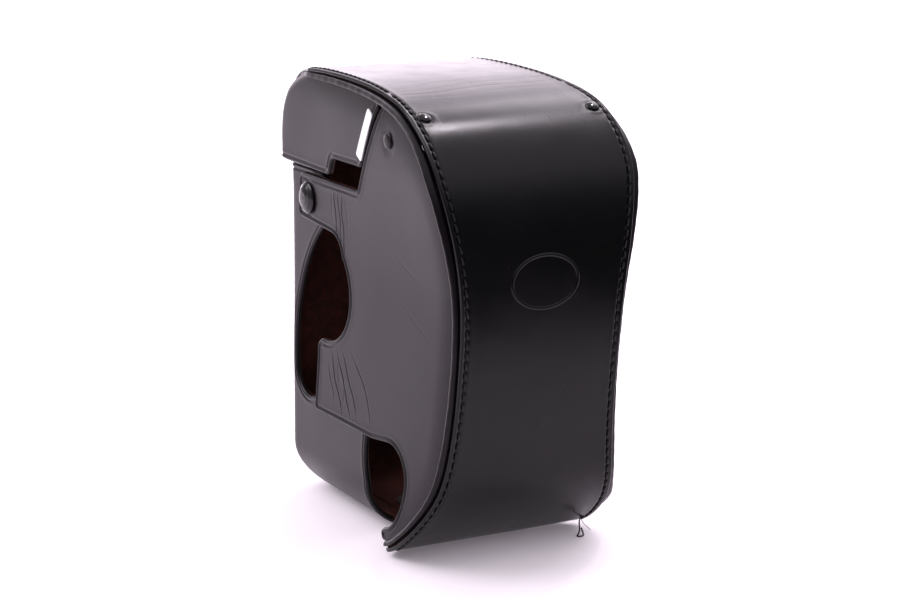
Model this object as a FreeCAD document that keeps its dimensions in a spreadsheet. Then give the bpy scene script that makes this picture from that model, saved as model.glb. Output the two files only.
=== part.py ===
import FreeCAD, Part
import Sketcher
import os

from FreeCAD import Vector

# Ever-ready camera case of moulded leather: rear half with two wings, drop-front cover,
# top lid with closing flap, two press-stud tabs and the captive camera screw.
# Millimetres, +Z up, the front faces -Y, the case stands on its flat bottom.

NODES = []
DOC = FreeCAD.newDocument("camera_case")

SIZES = [
    ("leather", 1.8), ("lining", 0.6), ("strip_overhang", 2.8), ("panel_inset", 4.4),
    ("welt_radius", 1.2), ("welt_inset", 3.05), ("welt_setback", 0.7), ("thread_radius", 0.35),
    ("rear_half_width", 41.0), ("rear_back", 90.4), ("back_lean", 0.023), ("rear_round", 6.0),
    ("bottom_round", 22.0), ("rear_rim", 161.0), ("back_half_width", 45.0), ("seam_y", -25.0),
    ("tab_root_y", 30.0), ("snap_y", 57.0), ("snap_z", 148.0), ("snap_radius", 7.5),
    ("snap_dome", 3.0), ("socket_radius", 5.0), ("socket_depth", 1.5), ("stud_radius", 2.6),
    ("stud_height", 1.5), ("stud_flange", 4.6), ("eyelet_radius", 2.4),
    ("strip_rivet_radius", 3.1), ("strip_rivet_dome", 1.6), ("strip_rivet_x", 41.4),
    ("side_rivet_radius", 3.6), ("side_rivet_dome", 1.2), ("side_rivet_y", -36.0),
    ("side_rivet_z", 187.0), ("screw_y", 25.0), ("thread_major_radius", 3.175),
    ("thread_bottom", 5.4), ("thread_top", 11.2), ("neck_radius", 2.4), ("head_radius", 9.0),
    ("head_bottom", 0.6), ("head_top", 3.6), ("centre_y", 2.65),
    ("cup_radius", 10.2), ("cup_wall", 0.8), ("cup_height", 4.6), ("cup_flange", 14.0),
    ("flap_half_width", 19.0), ("flap_tip_z", 146.0), ("keeper_z", 139.0), ("keeper_height", 12.0),
    ("keeper_face", 90.8), ("keeper_wall", 1.1), ("keeper_foot", 4.2), ("stay_half_width", 2.8),
]

SHEET = DOC.addObject("Spreadsheet::Sheet", "sizes")
for row, (name, value) in enumerate(SIZES, start=1):
    SHEET.set("A%d" % row, name)
    SHEET.set("B%d" % row, str(value))
    SHEET.setAlias("B%d" % row, name)
DOC.recompute()


def size(name):
    """Value of one named cell of the sheet."""
    return float(SHEET.get(name))


# Outer surface of the long strip, seen from the side (y, z): seam under the bottom, front, top, back.
COVER_PROFILE = [(-25, 1.0), (-35, 2.6), (-46, 8.5), (-62, 22.5), (-71, 36), (-76, 54), (-81.5, 90),
                 (-85.2, 125), (-85.5, 142), (-83.5, 159), (-78.5, 175), (-65, 191.3),
                 (-51.5, 199.6), (-27, 206.0)]
LID_PROFILE = [(-27, 206.0), (14, 209.4), (44, 209.6), (66, 207), (80.8, 199), (88.6, 186), (90.1, 163)]

# Half distance between the two seams of the strip at each height (z, x): full below, waisted, full on top.
SEAM_WIDTH = [(-6, 47.5), (7, 47.5), (22, 45), (36, 41.3), (52, 38.6), (90, 36.7), (125, 37.8),
              (142, 39.9), (159, 42.6), (175, 45), (192, 45.6), (201, 45), (209, 42.6), (216, 42)]

# How far the side panels stand outside the seam at the same heights.
PANEL_OFFSET = [4.5, 4.5, 4.5, 4.3, 4.1, 4.0, 4.1, 4.6, 5.2, 5.5, 5.4, 5.2, 4.8, 4.6]

# Depth of the lid's side panels under the strip's surface at each point of its profile.
LID_PANEL_INSETS = [4.4, 4.4, 4.2, 2.8, 1.1, 0.6, 0.6]

# Half width (y, x) that the strip's edge narrows to where the lid's sides wrap round its back.
BACK_TAPER = [(40, 50), (53, 46), (61, 43.6), (72, 42.6), (82, 42.2), (97, 41.2)]


def curve_through(points):
    """Smooth curve through 3-D points."""
    curve = Part.BSplineCurve()
    curve.interpolate([Vector(*p) for p in points])
    return curve


def side_curve(points, inset):
    """Smooth side-view curve, moved inwards by one inset or by one inset for each point."""
    base = curve_through([(0, y, z) for y, z in points])
    insets = inset if isinstance(inset, list) else [inset] * len(points)
    moved = []
    for (y, z), depth in zip(points, insets):
        along = base.tangent(base.parameter(Vector(0, y, z)))[0]
        moved.append((0, y + along.z * depth, z - along.y * depth))
    return curve_through(moved)


def reading(points, place):
    """Value at one place of the smooth curve through (place, value) points."""
    curve = curve_through([(value, where, 0) for where, value in points])
    low = curve.FirstParameter
    high = curve.LastParameter
    for _ in range(40):
        middle = 0.5 * (low + high)
        if curve.value(middle).y < place:
            low = middle
        else:
            high = middle
    return curve.value(low).x


def seam_half_width(z):
    """Half distance between the seams at height z."""
    return reading(SEAM_WIDTH, z)


def strip_half_width(y, z):
    """Half width of the strip's leather at a point of the side view."""
    full = seam_half_width(z) + size("strip_overhang")
    if y < BACK_TAPER[0][0]:
        return full
    return min(full, reading(BACK_TAPER, y))


def side_half_width(y, z):
    """Outer half width of the side panels at a point of the side view."""
    front = seam_half_width(z) + panel_offset(z)
    share = min(max((y + 83.0) / 170.0, 0.0), 1.0)
    return front * (1.0 - share) + size("back_half_width") * share


def panel_offset(z):
    """Distance of the side panels outside the seam at height z."""
    heights = [height for height, _ in SEAM_WIDTH]
    for index in range(len(heights) - 1):
        if z <= heights[index + 1]:
            break
    share = (z - heights[index]) / (heights[index + 1] - heights[index])
    return PANEL_OFFSET[index] * (1.0 - share) + PANEL_OFFSET[index + 1] * share


def prism_x(wire, half_length=70.0):
    """Side-view outline extruded across the whole width."""
    face = Part.Face(wire)
    face.translate(Vector(-half_length, 0, 0))
    return face.extrude(Vector(2.0 * half_length, 0, 0))


def outline(parts):
    """Closed side-view wire; an entry of two numbers is a corner, of four an arc's middle and end."""
    edges = []
    start = Vector(0, parts[0][0], parts[0][1])
    first = start
    for entry in parts[1:]:
        end = Vector(0, entry[-2], entry[-1])
        if len(entry) == 4:
            middle = Vector(0, entry[0], entry[1])
            edges.append(Part.Arc(start, middle, end).toShape())
        else:
            edges.append(Part.makeLine(start, end))
        start = end
    if (start - first).Length > 1e-6:
        edges.append(Part.makeLine(start, first))
    return Part.Wire(edges)


def band(points, outer, inner, trim_start=0.0, trim_end=0.0):
    """Band of the strip between two insets, running across the whole width."""
    rims = []
    for inset in (outer, inner):
        curve = side_curve(points, inset)
        first = curve.parameterAtDistance(trim_start, curve.FirstParameter)
        last = curve.parameterAtDistance(curve.length() - trim_end, curve.FirstParameter)
        rims.append(curve.toShape(first, last))
    a, b = rims
    close_end = Part.makeLine(a.lastVertex().Point, b.lastVertex().Point)
    close_start = Part.makeLine(b.firstVertex().Point, a.firstVertex().Point)
    return prism_x(Part.Wire([a, close_end, b, close_start]))


def waisted_block(overhang):
    """Block whose sides follow the two seams, standing outside them by overhang."""
    right = curve_through([(x + overhang, 0, z) for z, x in SEAM_WIDTH]).toShape()
    left = curve_through([(-x - overhang, 0, z) for z, x in SEAM_WIDTH]).toShape()
    low = Part.makeLine(left.firstVertex().Point, right.firstVertex().Point)
    high = Part.makeLine(right.lastVertex().Point, left.lastVertex().Point)
    face = Part.Face(Part.Wire([low, right, high, left]))
    face.translate(Vector(0, -120, 0))
    return face.extrude(Vector(0, 240, 0))


def tapered_plan(trim):
    """Upright block whose plan narrows towards the back by the strip's taper."""
    right = curve_through([(x - trim, y, 0) for y, x in BACK_TAPER]).toShape()
    left = curve_through([(trim - x, y, 0) for y, x in BACK_TAPER]).toShape()
    front = BACK_TAPER[0]
    wide = 60.0
    corners = [Vector(front[1] - trim, front[0], 0), Vector(wide, front[0], 0), Vector(wide, -120, 0),
               Vector(-wide, -120, 0), Vector(-wide, front[0], 0), Vector(trim - front[1], front[0], 0)]
    rest = [Part.makeLine(a, b) for a, b in zip(corners, corners[1:])]
    back = Part.makeLine(left.lastVertex().Point, right.lastVertex().Point)
    face = Part.Face(Part.Wire(Part.__sortEdges__([right, back, left] + rest)))
    face.translate(Vector(0, 0, -20))
    return face.extrude(Vector(0, 0, 260))


def foot_corners(strip):
    """Strip without the corners of its lower end, which are cut off at a slant."""
    for side in (-1, 1):
        points = [(40, -24), (70, -24), (70, -33.5), (50.8, -33.5)]
        ring = [Vector(side * x, y, -5) for x, y in points]
        wedge = Part.Face(Part.makePolygon(ring + ring[:1])).extrude(Vector(0, 0, 25))
        strip = strip.cut(wedge)
    return strip


def side_slab(side, outer, inner):
    """Side wall blank between two insets: waisted in front, straight at the back."""
    sections = []
    for y, front in ((-90.0, True), (92.0, False)):
        share = min(max((y + 83.0) / 170.0, -0.05), 1.05)
        rims = []
        for inset in (outer, inner):
            points = []
            for (z, x), offset in zip(SEAM_WIDTH, PANEL_OFFSET):
                wide = (x + offset) * (1.0 - share) + size("back_half_width") * share
                points.append((side * (wide - inset), y, z))
            rims.append(curve_through(points).toShape())
        a, b = rims
        low = Part.makeLine(b.firstVertex().Point, a.firstVertex().Point)
        high = Part.makeLine(a.lastVertex().Point, b.lastVertex().Point)
        sections.append(Part.Wire([a, high, b, low]))
    return Part.makeLoft(sections, True, True)


def places_along(points, inset, trim_start, trim_end):
    """Places spread evenly along a side-view curve between its trimmed ends."""
    curve = side_curve(points, inset)
    total = curve.length()
    count = 26
    places = []
    for step in range(count + 1):
        run = trim_start + (total - trim_start - trim_end) * step / count
        places.append(curve.value(curve.parameterAtDistance(run, curve.FirstParameter)))
    return places


def seam_path(points, trim_start, trim_end):
    """Space curve of the sewing thread, just clear of the strip's surface."""
    path = []
    for place in places_along(points, -size("thread_radius") - 0.02, trim_start, trim_end):
        half = strip_half_width(place.y, place.z) - size("strip_overhang")
        path.append((half, place.y, place.z))
    return path


def welt_path(points, trim_start, trim_end):
    """Space curve of the welt, in the groove between the strip's edge and the side panel."""
    path = []
    for place in places_along(points, size("welt_inset"), trim_start, trim_end):
        half = seam_half_width(place.z) + panel_offset(place.z) - size("welt_setback")
        path.append((half, place.y, place.z))
    return path


def bead(path, side, radius, corners):
    """Cord of many-sided section swept along a space curve; the left one mirrors the right one."""
    spine = Part.Wire([curve_through(path).toShape()])
    edge = spine.Edges[0]
    start = edge.valueAt(edge.FirstParameter)
    along = edge.tangentAt(edge.FirstParameter)
    ring = Part.makeCircle(radius, start, along).discretize(corners + 1)
    cord = spine.makePipeShell([Part.makePolygon(ring)], True, False)
    if side > 0:
        return cord
    return cord.mirror(Vector(0, 0, 0), Vector(1, 0, 0))


def add_shape(label, shape):
    """Node whose free-form shape is worked out from the outlines above and the sheet."""
    if shape.ShapeType == "Compound" and len(shape.Solids) == 1:
        shape = shape.Solids[0]
    node = DOC.addObject("Part::Feature", label)
    node.Label = label
    node.Shape = shape
    NODES.append(node)
    return node


def turned(label, corners, base, rotation):
    """Turned metal piece: half section in (radius, height), each corner bound to the sheet."""
    body = DOC.addObject("PartDesign::Body", label)
    body.Label = label
    sketch = body.newObject("Sketcher::SketchObject", label + "_section")
    plane = [item for item in body.Origin.OriginFeatures if item.Role == "XZ_Plane"][0]
    sketch.AttachmentSupport = [(plane, "")]
    sketch.MapMode = "FlatFace"
    values = []
    for radius, height in corners:
        values.append((evaluate(radius), evaluate(height)))
    count = len(corners)
    for index in range(count):
        a = values[index]
        b = values[(index + 1) % count]
        sketch.addGeometry(Part.LineSegment(Vector(a[0], a[1], 0), Vector(b[0], b[1], 0)))
    for index in range(count):
        following = (index + 1) % count
        sketch.addConstraint(Sketcher.Constraint("Coincident", index, 2, following, 1))
    for index, (radius, height) in enumerate(corners):
        bind(sketch, index, "DistanceX", -2, radius, values[index][0], "radius%d" % index)
        bind(sketch, index, "DistanceY", -1, height, values[index][1], "height%d" % index)
    turn = body.newObject("PartDesign::Revolution", label + "_turn")
    turn.Profile = sketch
    turn.ReferenceAxis = (sketch, ["V_Axis"])
    turn.Angle = 360.0
    body.Placement = FreeCAD.Placement(base, rotation)
    NODES.append(body)
    return body


def evaluate(expression):
    """Number given by a sum or difference of sheet names and plain numbers."""
    total = 0.0
    for term in expression.replace("-", "+-").split("+"):
        if not term:
            continue
        sign = -1.0 if term.startswith("-") else 1.0
        term = term.lstrip("-")
        factor = 1.0
        for piece in term.split("*"):
            factor *= float(piece) if piece[0].isdigit() else size(piece)
        total += sign * factor
    return total


def bind(sketch, index, kind, axis, expression, value, name):
    """Tie one corner of a section to the sheet, or to the axis when the value is nought."""
    if abs(value) < 1e-9:
        sketch.addConstraint(Sketcher.Constraint("PointOnObject", index, 1, axis))
        return
    number = sketch.addConstraint(Sketcher.Constraint(kind, -1, 1, index, 1, value))
    sketch.renameConstraint(number, name)
    written = expression
    for alias, _ in sorted(SIZES, key=lambda item: -len(item[0])):
        written = replace_word(written, alias)
    sketch.setExpression("Constraints." + name, written)


def replace_word(text, word):
    """Put the sheet's name in front of a whole word."""
    pieces = []
    for term in text.replace("+", " + ").replace("-", " - ").replace("*", " * ").split():
        pieces.append("<<sizes>>." + term if term == word else term)
    return " ".join(pieces)


def facing(direction):
    """Rotation that turns +Z to the given direction."""
    return FreeCAD.Rotation(Vector(0, 0, 1), direction)


# ---------------------------------------------------------------- rear half
def back_at(z):
    """Outer face of the leaning back wall at height z."""
    return size("rear_back") - size("back_lean") * (z - size("bottom_round"))


def rear_block(inset):
    """Rear half as a block: leaning back, small upright rounds, large rounds along the bottom."""
    half = size("rear_half_width") - inset
    bend = size("bottom_round") - inset
    back = size("rear_back") - inset
    top = 260.0
    walls = prism_x(outline([(-90, -9), (back_at(-9) - inset, -9), (back_at(top) - inset, top),
                             (-90, top)]), half)
    upright = [e for e in walls.Edges if e.BoundBox.ZLength > 100 and e.BoundBox.YMin > 50]
    walls = walls.makeFillet(size("rear_round") - inset, upright)
    rise = bend * (1.0 - 0.5 ** 0.5)
    low_back = prism_x(outline([
        (-95, inset), (back - bend, inset), (back - rise, inset + rise, back, inset + bend),
        (back + 9, inset + bend), (back + 9, top + 5), (-95, top + 5)]))
    low_sides = outline([
        (bend - half, inset), (half - bend, inset), (half - rise, inset + rise, half, inset + bend),
        (half + 9, inset + bend), (half + 9, top + 5), (-half - 9, top + 5),
        (-half - 9, inset + bend), (-half, inset + bend),
        (rise - half, inset + rise, bend - half, inset)])
    low_sides = Part.Face(low_sides)
    low_sides.rotate(Vector(0, 0, 0), Vector(0, 0, 1), -90)
    low_sides.translate(Vector(0, -100, 0))
    low_sides = low_sides.extrude(Vector(0, 220, 0))
    return walls.common(low_back).common(low_sides)


def rear_outline(inset):
    """Side view of the rear half: wings with the round cut-out between foot and shoulder."""
    rim = size("rear_rim") - inset
    start = size("seam_y") + 0.2 + inset
    return outline([
        (start, -1), (start, 2.4), (3.4 + inset, 2.4), (4.2 + inset, 12), (4.4 + inset, 23),
        (6.4 + inset, 33, 5.2 + inset, 44), (5.2 + inset, 47), (8 + inset, 50 - inset),
        (62, 50.4 - inset), (76.5 + inset, 52.5 - inset, 81.6 + inset, 62),
        (80.2 + inset, 85, 74.3 + inset, 103), (66 + inset, 118, 52 + inset, 133),
        (43 + inset, 141), (36 + inset, 150), (36 + inset, 157 - inset), (44, 157 - inset),
        (50, rim), (95, rim), (95, -1)])


def build_rear():
    """Leather shell, suede lining, studs, screw cup and flap keeper of the rear half."""
    leather = size("leather")
    lining = size("lining")
    hole = Part.makeCylinder(size("cup_radius") + size("cup_wall") + 0.02, 20,
                             Vector(0, size("screw_y"), -5))
    shell = rear_block(0).cut(rear_block(leather)).common(prism_x(rear_outline(0))).cut(hole)
    suede = rear_block(leather + 0.02).cut(rear_block(leather + lining))
    suede = suede.common(prism_x(rear_outline(1.2))).cut(hole)
    for side in (-1, 1):
        at = Vector(side * (size("rear_half_width") - leather - 2), size("snap_y"), size("snap_z"))
        hole_side = Part.makeCylinder(size("eyelet_radius") + 0.02, 8, at, Vector(side, 0, 0))
        inward = Vector(side * (size("rear_half_width") - leather - lining - 8),
                        size("snap_y"), size("snap_z"))
        washer_seat = Part.makeCylinder(size("eyelet_radius") + 2.22, 8 + lining - 0.01, inward,
                                        Vector(side, 0, 0))
        shell = shell.cut(hole_side)
        suede = suede.cut(washer_seat)
    add_shape("rear_shell", shell)
    add_shape("rear_lining", suede)
    for side in (-1, 1):
        word = "left" if side < 0 else "right"
        turned("stud_" + word, [
            ("0", "-leather-lining"), ("eyelet_radius+1.8", "-leather-lining"),
            ("eyelet_radius+1.8", "-leather-0.05"), ("eyelet_radius", "-leather-0.05"),
            ("eyelet_radius", "0.02"), ("stud_flange", "0.02"), ("stud_flange", "0.4"),
            ("stud_radius-0.4", "0.55"), ("stud_radius-0.4", "0.7"), ("stud_radius", "0.9"),
            ("stud_radius", "stud_height-0.3"), ("stud_radius-0.5", "stud_height"),
            ("0", "stud_height")],
            Vector(side * size("rear_half_width"), size("snap_y"), size("snap_z")),
            facing(Vector(side, 0, 0)))
    turned("screw_cup", [
        ("neck_radius+0.08", "cup_height-cup_wall"), ("cup_radius", "cup_height-cup_wall"),
        ("cup_radius", "0.1"), ("cup_radius+cup_wall", "0.1"),
        ("cup_radius+cup_wall", "leather+lining+0.05"), ("cup_flange", "leather+lining+0.05"),
        ("cup_flange", "leather+lining+0.65"), ("cup_radius+cup_wall", "leather+lining+0.65"),
        ("cup_radius+cup_wall", "cup_height"), ("neck_radius+0.08", "cup_height")],
        Vector(0, size("screw_y"), 0), FreeCAD.Rotation())


def build_keeper():
    """Leather loop on the back wall that holds the flap's tip."""
    wide = size("flap_half_width") + 6
    low = size("keeper_z")
    high = size("keeper_height")
    start = back_at(low) + 0.05
    face = size("keeper_face")
    outer = Part.makeBox(2 * wide, face - start, high, Vector(-wide, start, low))
    edges = [e for e in outer.Edges if e.BoundBox.ZLength > 5 and e.BoundBox.YMin > start + 1]
    outer = outer.makeFillet(1.4, edges)
    half = wide - size("keeper_foot")
    room = Part.makeBox(2 * half, face - size("keeper_wall") - start + 1, high + 10,
                        Vector(-half, start - 1, low - 5))
    add_shape("flap_keeper", outer.cut(room))
    for side in (-1, 1):
        word = "left" if side < 0 else "right"
        turned("keeper_rivet_" + word, [
            ("0", "0"), ("1.7", "0"), ("1.5", "0.4"), ("0.8", "0.65"), ("0", "0.7")],
            Vector(side * (wide - 2.3), face + 0.03, low + 0.5 * high), facing(Vector(0, 1, 0)))


# ---------------------------------------------------------------- drop-front cover
def cover_side_outline():
    """Side view of the front cover: slit edge, tab, round cut-out, foot with the lower cut-out."""
    top = side_curve(COVER_PROFILE, size("panel_inset"))
    cut_low = top.parameterAtDistance(4.0, top.FirstParameter)
    cut_high = top.parameterAtDistance(top.length() - 1.0, top.FirstParameter)
    rim = top.toShape(cut_low, cut_high)
    first = rim.firstVertex().Point
    last = rim.lastVertex().Point
    low = outline_open([
        (last.y, last.z), (-27, 200.5), (1.5, 159.5), (60, 159.5), (64.5, 158.5, 66.5, 154.5),
        (68, 143), (67.5, 138.8, 64, 137.6), (32, 135), (26, 131.5, 23.5, 125), (17.5, 104, 30, 86),
        (36, 83.5, 43, 82.5), (49, 81, 50.5, 75), (53, 51), (52.5, 47.5, 49, 46.5), (-6, 46.6),
        (-20, 48.4), (-42.0, 32, -27, 11.5), (-25.2, 9.8), (-25.2, 7.5), (-26, 5.2),
        (first.y, first.z)])
    return Part.Wire([rim] + low)


def outline_open(parts):
    """Edges of an open side-view outline."""
    edges = []
    start = Vector(0, parts[0][0], parts[0][1])
    for entry in parts[1:]:
        end = Vector(0, entry[-2], entry[-1])
        if len(entry) == 4:
            edges.append(Part.Arc(start, Vector(0, entry[0], entry[1]), end).toShape())
        else:
            edges.append(Part.makeLine(start, end))
        start = end
    return edges


def tab_zone(gap):
    """Prism that holds the tab behind its root line."""
    root = size("tab_root_y") + gap
    return prism_x(outline([(root, 131), (root, 164), (75, 164), (75, 131)]))


def build_cover():
    """Strip, side panels, linings, welts and seams of the drop-front cover."""
    leather = size("leather")
    full = leather + size("lining")
    strip = band(COVER_PROFILE, 0, leather, 0.2, 0.2).common(waisted_block(size("strip_overhang")))
    add_shape("front_strip", foot_corners(strip))
    suede = band(COVER_PROFILE, leather + 0.02, full, 1.5, 0.4)
    suede = suede.common(waisted_block(size("strip_overhang") - 0.9))
    add_shape("front_strip_lining", foot_corners(suede))
    panel = prism_x(cover_side_outline())
    for side in (-1, 1):
        word = "left" if side < 0 else "right"
        blank = side_slab(side, 0, leather).common(panel)
        lined = side_slab(side, leather + 0.02, full).common(panel)
        keep_tab = tab_zone(0.15)
        drop_tab = tab_zone(0.0)
        at = Vector(side * 20, size("snap_y"), size("snap_z"))
        eyelet = Part.makeCylinder(size("eyelet_radius") + 0.02, 60, at, Vector(side, 0, 0))
        seat = Part.makeCylinder(size("socket_radius") + 0.05, 60, at, Vector(side, 0, 0))
        add_shape("front_side_" + word, blank.cut(drop_tab))
        add_shape("front_side_lining_" + word, lined.cut(drop_tab))
        add_shape("tab_" + word, blank.common(keep_tab).cut(eyelet))
        add_shape("tab_lining_" + word, lined.common(keep_tab).cut(seat))
        welt = welt_path(COVER_PROFILE, 9.0, 1.0)
        add_shape("front_welt_" + word, bead(welt, side, size("welt_radius"), 8))
        seam = seam_path(COVER_PROFILE, 7.5, 1.5)
        add_shape("front_seam_" + word, bead(seam, side, size("thread_radius"), 4))
    build_snaps()
    build_rivets()
    build_emblem()


def build_snaps():
    """Domed cap outside and spring socket inside of each tab."""
    wide = side_half_width(size("snap_y"), size("snap_z"))
    for side in (-1, 1):
        word = "left" if side < 0 else "right"
        at = Vector(side * wide, size("snap_y"), size("snap_z"))
        turned("snap_cap_" + word, [
            ("0", "-leather"), ("eyelet_radius", "-leather"), ("eyelet_radius", "0.25"),
            ("snap_radius", "0.25"), ("snap_radius", "0.8"), ("snap_radius-0.6", "0.45*snap_dome"),
            ("snap_radius-2.2", "0.76*snap_dome"), ("snap_radius-4.6", "0.95*snap_dome"),
            ("0", "snap_dome")], at, facing(Vector(side, 0, 0)))
        turned("snap_socket_" + word, [
            ("0", "-leather-0.4"), ("0", "-leather-0.2"), ("socket_radius", "-leather-0.2"),
            ("socket_radius", "-leather-socket_depth"), ("stud_radius+0.12", "-leather-socket_depth"),
            ("stud_radius+0.12", "-leather-0.4")], at, facing(Vector(side, 0, 0)))


def build_rivets():
    """Domed rivets beside the seams and on the side panels."""
    curve = side_curve(COVER_PROFILE, 0)
    spot = curve.parameter(Vector(0, -54, 198.3))
    place = curve.value(spot)
    along = curve.tangent(spot)[0]
    out = Vector(0, -along.z, along.y)
    wide = side_half_width(size("side_rivet_y"), size("side_rivet_z"))
    for side in (-1, 1):
        word = "left" if side < 0 else "right"
        turned("strip_rivet_" + word, [
            ("0", "0.12"), ("strip_rivet_radius", "0.12"), ("strip_rivet_radius-0.3", "0.7"),
            ("strip_rivet_radius-1.4", "strip_rivet_dome-0.2"), ("0", "strip_rivet_dome")],
            Vector(side * size("strip_rivet_x"), place.y, place.z), facing(out))
        turned("side_rivet_" + word, [
            ("0", "0.2"), ("side_rivet_radius", "0.2"), ("side_rivet_radius-0.5", "0.75"),
            ("side_rivet_radius-1.8", "side_rivet_dome-0.1"), ("0", "side_rivet_dome")],
            Vector(side * wide, size("side_rivet_y"), size("side_rivet_z")),
            facing(Vector(side, 0, 0)))


def build_emblem():
    """Plain embossed oval ring on the front strip."""
    rings = []
    for major, minor in ((17.0, 12.5), (15.2, 10.7)):
        ellipse = Part.Ellipse(Vector(0, 0, 0), major, minor).toShape()
        face = Part.Face(Part.Wire([ellipse]))
        face.rotate(Vector(0, 0, 0), Vector(1, 0, 0), 90)
        face.translate(Vector(0, -100, 130))
        rings.append(face.extrude(Vector(0, 40, 0)))
    raised = band(COVER_PROFILE, -0.5, -0.02, 1, 1)
    add_shape("front_emblem", raised.common(rings[0].cut(rings[1])))


# ---------------------------------------------------------------- lid
def lid_side_outline():
    """Side view of the lid with the slanted front edge and the notch."""
    top = side_curve(LID_PROFILE, LID_PANEL_INSETS)
    rim = top.toShape(top.parameterAtDistance(3.0, top.FirstParameter),
                      top.parameterAtDistance(top.length() - 0.4, top.FirstParameter))
    first = rim.firstVertex().Point
    last = rim.lastVertex().Point
    low = outline_open([
        (last.y, last.z), (last.y - 1.2, 163.1), (82, 162.6), (33.5, 162.0), (31, 163.5), (28, 169),
        (26.5, 170.4), (0, 170.8), (-5.0, 171.5, -7.3, 174.2), (first.y - 0.9, 200.2),
        (first.y, first.z)])
    return Part.Wire([rim] + low)


def build_lid():
    """Strip, side panels, linings, welts, seams and metal stays of the lid."""
    leather = size("leather")
    full = leather + size("lining")
    strip = band(LID_PROFILE, 0, leather, 0.2, 0.0).common(waisted_block(size("strip_overhang")))
    strip = strip.common(tapered_plan(0.0))
    add_shape("lid_strip", strip)
    suede = band(LID_PROFILE, leather + 0.02, full, 0.6, 0.8)
    suede = suede.common(waisted_block(size("strip_overhang") - 0.9)).common(tapered_plan(0.9))
    add_shape("lid_strip_lining", suede)
    panel = prism_x(lid_side_outline())
    stay = prism_x(stay_outline())
    for side in (-1, 1):
        word = "left" if side < 0 else "right"
        blank = side_slab(side, 0, leather).common(panel)
        lined = side_slab(side, leather + 0.02, full).common(panel)
        add_shape("lid_side_" + word, blank.cut(strip).cut(suede))
        add_shape("lid_side_lining_" + word, lined.cut(strip).cut(suede))
        welt = welt_path(LID_PROFILE, 1.4, 84.0)
        add_shape("lid_welt_" + word, bead(welt, side, size("welt_radius"), 8))
        seam = seam_path(LID_PROFILE, 1.5, 2.0)
        add_shape("lid_seam_" + word, bead(seam, side, size("thread_radius"), 4))
        add_shape("lid_stay_" + word, side_slab(side, -0.65, -0.03).common(stay))


def stay_outline():
    """Slim plate with blunt ends beside the lid's slanted edge."""
    low = Vector(0, -4.9, 175.3)
    high = Vector(0, -18.0, 197.5)
    half = size("stay_half_width")
    blunt = 0.7
    along = high.sub(low).normalize()
    across = Vector(0, along.z, -along.y)
    corners = []
    for end, inwards in ((low, 1), (high, -1)):
        for sign in (1, -1):
            edge = end.add(across * (sign * inwards * half))
            tip = end.add(across * (sign * inwards * (half - blunt)))
            pair = [edge.add(along * (inwards * blunt)), tip]
            corners.extend(pair if sign > 0 else pair[::-1])
    return Part.makePolygon(corners + corners[:1])


def build_flap():
    """Soft closing flap that hangs from the lid's back edge into the keeper."""
    half = size("flap_half_width")
    back = size("rear_back")
    tip = size("flap_tip_z")
    path = [(89.2, 162.8), (89.15, 159.5), (89.05, 155), (89, 151), (88.95, tip)]
    curve = curve_through([(0, y, z) for y, z in path])
    inner = curve_through([(0, y - 0.95, z - 0.2) for y, z in path])
    a = curve.toShape()
    b = inner.toShape()
    wire = Part.Wire([a, Part.makeLine(a.lastVertex().Point, b.lastVertex().Point), b,
                      Part.makeLine(b.firstVertex().Point, a.firstVertex().Point)])
    tongue = prism_x(wire)
    shape = Part.makeBox(2 * half, 40, 40, Vector(-half, back - 20, tip - 5))
    lower = [e for e in shape.Edges if e.BoundBox.YLength > 30 and e.BoundBox.ZMax < tip]
    shape = shape.makeFillet(9.0, lower)
    add_shape("closing_flap", tongue.common(shape))


def build_screw():
    """Captive camera screw: knurled head below, quarter-inch thread above."""
    turned("camera_screw", [
        ("0", "head_bottom"), ("head_radius-0.5", "head_bottom"), ("head_radius", "head_bottom+0.5"),
        ("head_radius", "head_top-0.3"), ("head_radius-0.3", "head_top"),
        ("neck_radius", "head_top"), ("neck_radius", "thread_bottom-0.3"),
        ("thread_major_radius", "thread_bottom"), ("thread_major_radius", "thread_top-0.8"),
        ("thread_major_radius-0.8", "thread_top"), ("0", "thread_top")],
        Vector(0, size("screw_y"), 0), FreeCAD.Rotation())


build_rear()
build_keeper()
build_cover()
build_lid()
build_flap()
build_screw()
DOC.recompute()

shift = FreeCAD.Placement(Vector(0, -size("centre_y"), 0), FreeCAD.Rotation())
for node in NODES:
    node.Placement = shift.multiply(node.Placement)
DOC.recompute()

os.makedirs("parts", exist_ok=True)
for node in NODES:
    if "Invalid" in node.State or "Error" in node.State:
        raise RuntimeError("%s did not compute" % node.Label)
    if node.Shape.isNull() or not node.Shape.isValid():
        raise RuntimeError("%s has no valid shape" % node.Label)
    if len(node.Shape.Solids) < 1:
        raise RuntimeError("%s has no solid" % node.Label)
    node.Shape.exportStep("parts/%s.step" % node.Label)
    box = node.Shape.optimalBoundingBox()
    print("%-26s %7.1f %7.1f %7.1f %7.1f %7.1f %7.1f  solids %d  volume %.0f" % (
        node.Label, box.XMin, box.XMax, box.YMin, box.YMax, box.ZMin, box.ZMax,
        len(node.Shape.Solids), node.Shape.Volume))
print("nodes", len(NODES))
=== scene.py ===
import math

import bpy
import numpy as np
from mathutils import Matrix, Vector, geometry, noise


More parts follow.
